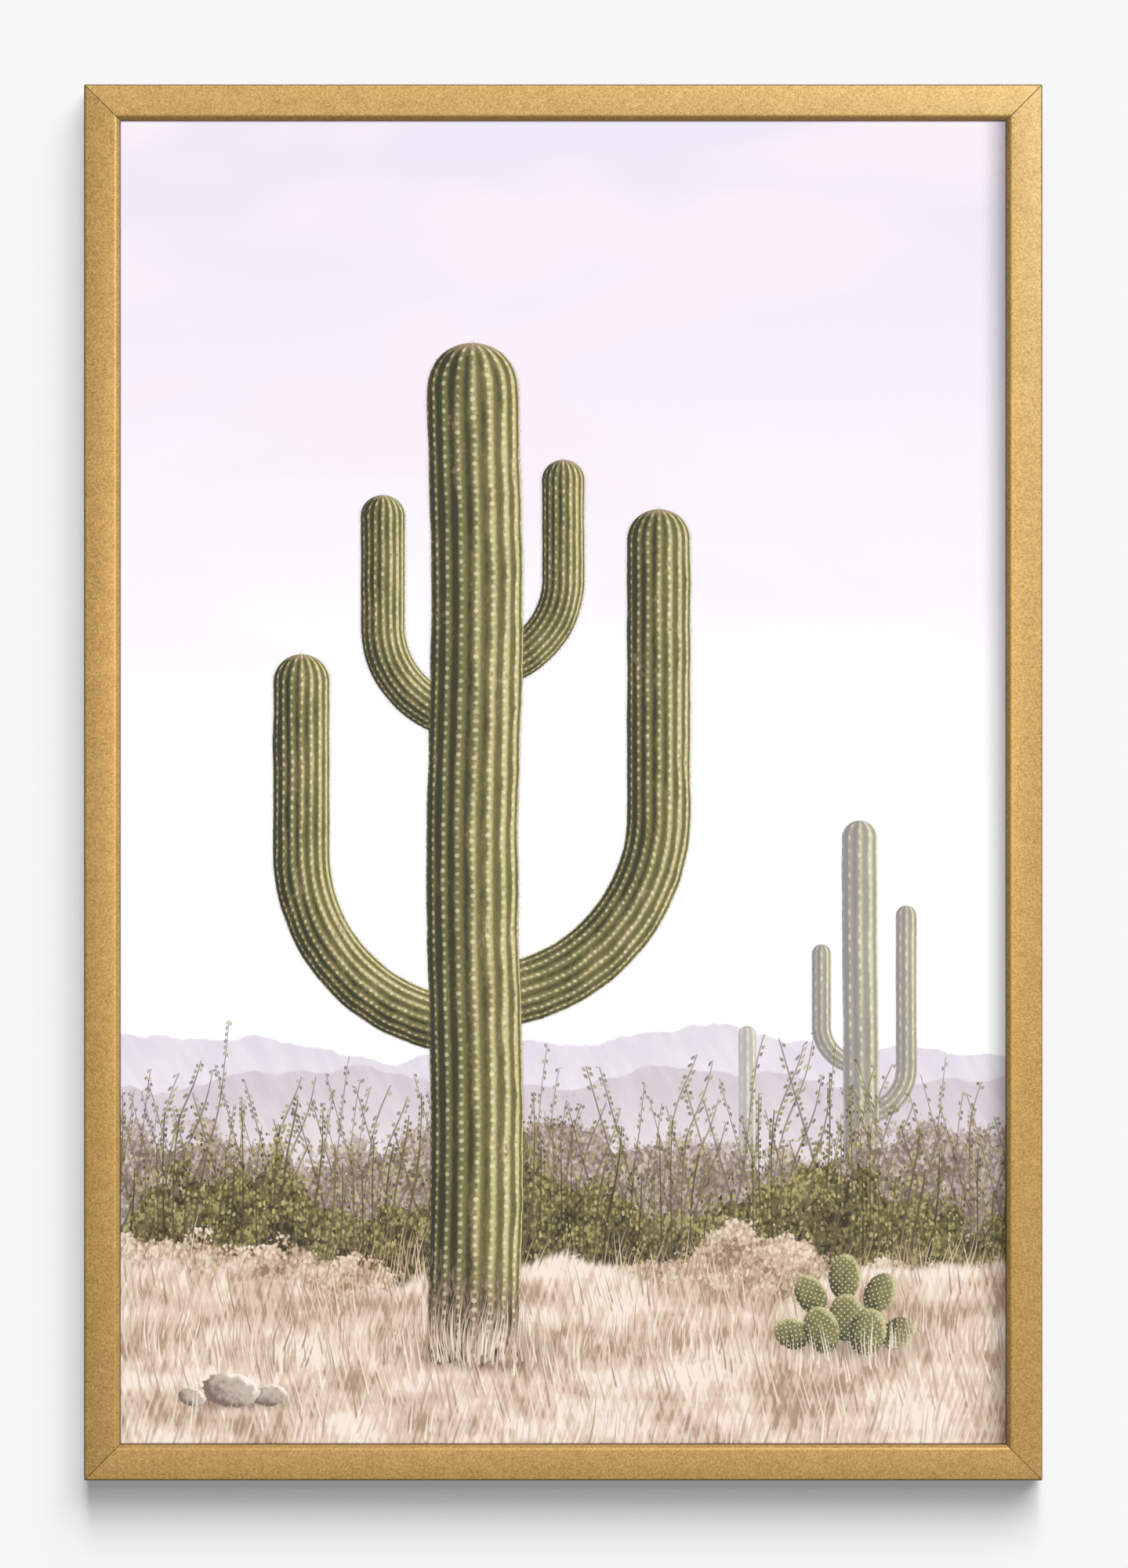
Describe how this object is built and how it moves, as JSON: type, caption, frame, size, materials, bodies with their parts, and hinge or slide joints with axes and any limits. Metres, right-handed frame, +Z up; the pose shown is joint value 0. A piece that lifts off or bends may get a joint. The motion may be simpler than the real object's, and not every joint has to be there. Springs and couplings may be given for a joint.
{
  "type": "framed print",
  "caption": "Tall framed print: slim gold mitred rails hold glass, a pale desert print and a backing board that turn latches keep in; it hangs flush on D rings.",
  "frame": {"origin": "middle of the flat back face of the top rail, in the plane of the wall", "axes": "+Z up along the sides, +Y out of the back towards the wall, so the print faces -Y; +X to the right seen from the front"},
  "size_m": [0.541, 0.022, 0.7879],
  "materials": {
    "gold_rail": "satin",
    "clear_glass": "gloss",
    "print_paper": "matte",
    "hardboard": "matte",
    "plated_steel": "satin"
  },
  "bodies": {
    "frame": {"rail_top": "gold_rail", "rail_right": "gold_rail", "rail_bottom": "gold_rail", "rail_left": "gold_rail", "corner_nail_top_right": "plated_steel", "corner_nail_bottom_right": "plated_steel", "corner_nail_bottom_left": "plated_steel", "corner_nail_top_left": "plated_steel", "glazing": "clear_glass", "print_sheet": "print_paper", "backing_board": "hardboard", "latch_rivet_top_left": "plated_steel", "latch_rivet_top_right": "plated_steel", "latch_rivet_right_upper": "plated_steel", "latch_rivet_right_lower": "plated_steel", "latch_rivet_bottom_left": "plated_steel", "latch_rivet_bottom_right": "plated_steel", "latch_rivet_left_upper": "plated_steel", "latch_rivet_left_lower": "plated_steel", "hanger_strap_left": "plated_steel", "hanger_strap_right": "plated_steel", "hanger_rivet_left": "plated_steel", "hanger_rivet_right": "plated_steel"},
    "latch_top_left": {"turn_latch_top_left": "plated_steel"},
    "latch_top_right": {"turn_latch_top_right": "plated_steel"},
    "latch_right_upper": {"turn_latch_right_upper": "plated_steel"},
    "latch_right_lower": {"turn_latch_right_lower": "plated_steel"},
    "latch_bottom_left": {"turn_latch_bottom_left": "plated_steel"},
    "latch_bottom_right": {"turn_latch_bottom_right": "plated_steel"},
    "latch_left_upper": {"turn_latch_left_upper": "plated_steel"},
    "latch_left_lower": {"turn_latch_left_lower": "plated_steel"},
    "ring_left": {"hanger_ring_left": "plated_steel"},
    "ring_right": {"hanger_ring_right": "plated_steel"}
  },
  "joints": [
    {"name": "latch_turn_top_left", "type": "hinge", "parent": "frame", "child": "latch_top_left", "pos_m": [-0.13, -0.01195, -0.02625], "axis": [0, 1, 0], "range_deg": [-90, 90]},
    {"name": "latch_turn_top_right", "type": "hinge", "parent": "frame", "child": "latch_top_right", "pos_m": [0.13, -0.01195, -0.02625], "axis": [0, 1, 0], "range_deg": [-90, 90]},
    {"name": "latch_turn_right_upper", "type": "hinge", "parent": "frame", "child": "latch_right_upper", "pos_m": [0.237, -0.01195, -0.17175], "axis": [0, 1, 0], "range_deg": [-90, 90]},
    {"name": "latch_turn_right_lower", "type": "hinge", "parent": "frame", "child": "latch_right_lower", "pos_m": [0.237, -0.01195, -0.60175], "axis": [0, 1, 0], "range_deg": [-90, 90]},
    {"name": "latch_turn_bottom_left", "type": "hinge", "parent": "frame", "child": "latch_bottom_left", "pos_m": [-0.13, -0.01195, -0.74725], "axis": [0, 1, 0], "range_deg": [-90, 90]},
    {"name": "latch_turn_bottom_right", "type": "hinge", "parent": "frame", "child": "latch_bottom_right", "pos_m": [0.13, -0.01195, -0.74725], "axis": [0, 1, 0], "range_deg": [-90, 90]},
    {"name": "latch_turn_left_upper", "type": "hinge", "parent": "frame", "child": "latch_left_upper", "pos_m": [-0.237, -0.01195, -0.17175], "axis": [0, 1, 0], "range_deg": [-90, 90]},
    {"name": "latch_turn_left_lower", "type": "hinge", "parent": "frame", "child": "latch_left_lower", "pos_m": [-0.237, -0.01195, -0.60175], "axis": [0, 1, 0], "range_deg": [-90, 90]},
    {"name": "ring_swing_left", "type": "hinge", "parent": "frame", "child": "ring_left", "pos_m": [-0.165, -0.0105, -0.12], "axis": [1, 0, 0], "range_deg": [0, 180]},
    {"name": "ring_swing_right", "type": "hinge", "parent": "frame", "child": "ring_right", "pos_m": [0.165, -0.0105, -0.12], "axis": [1, 0, 0], "range_deg": [0, 180]}
  ]
}
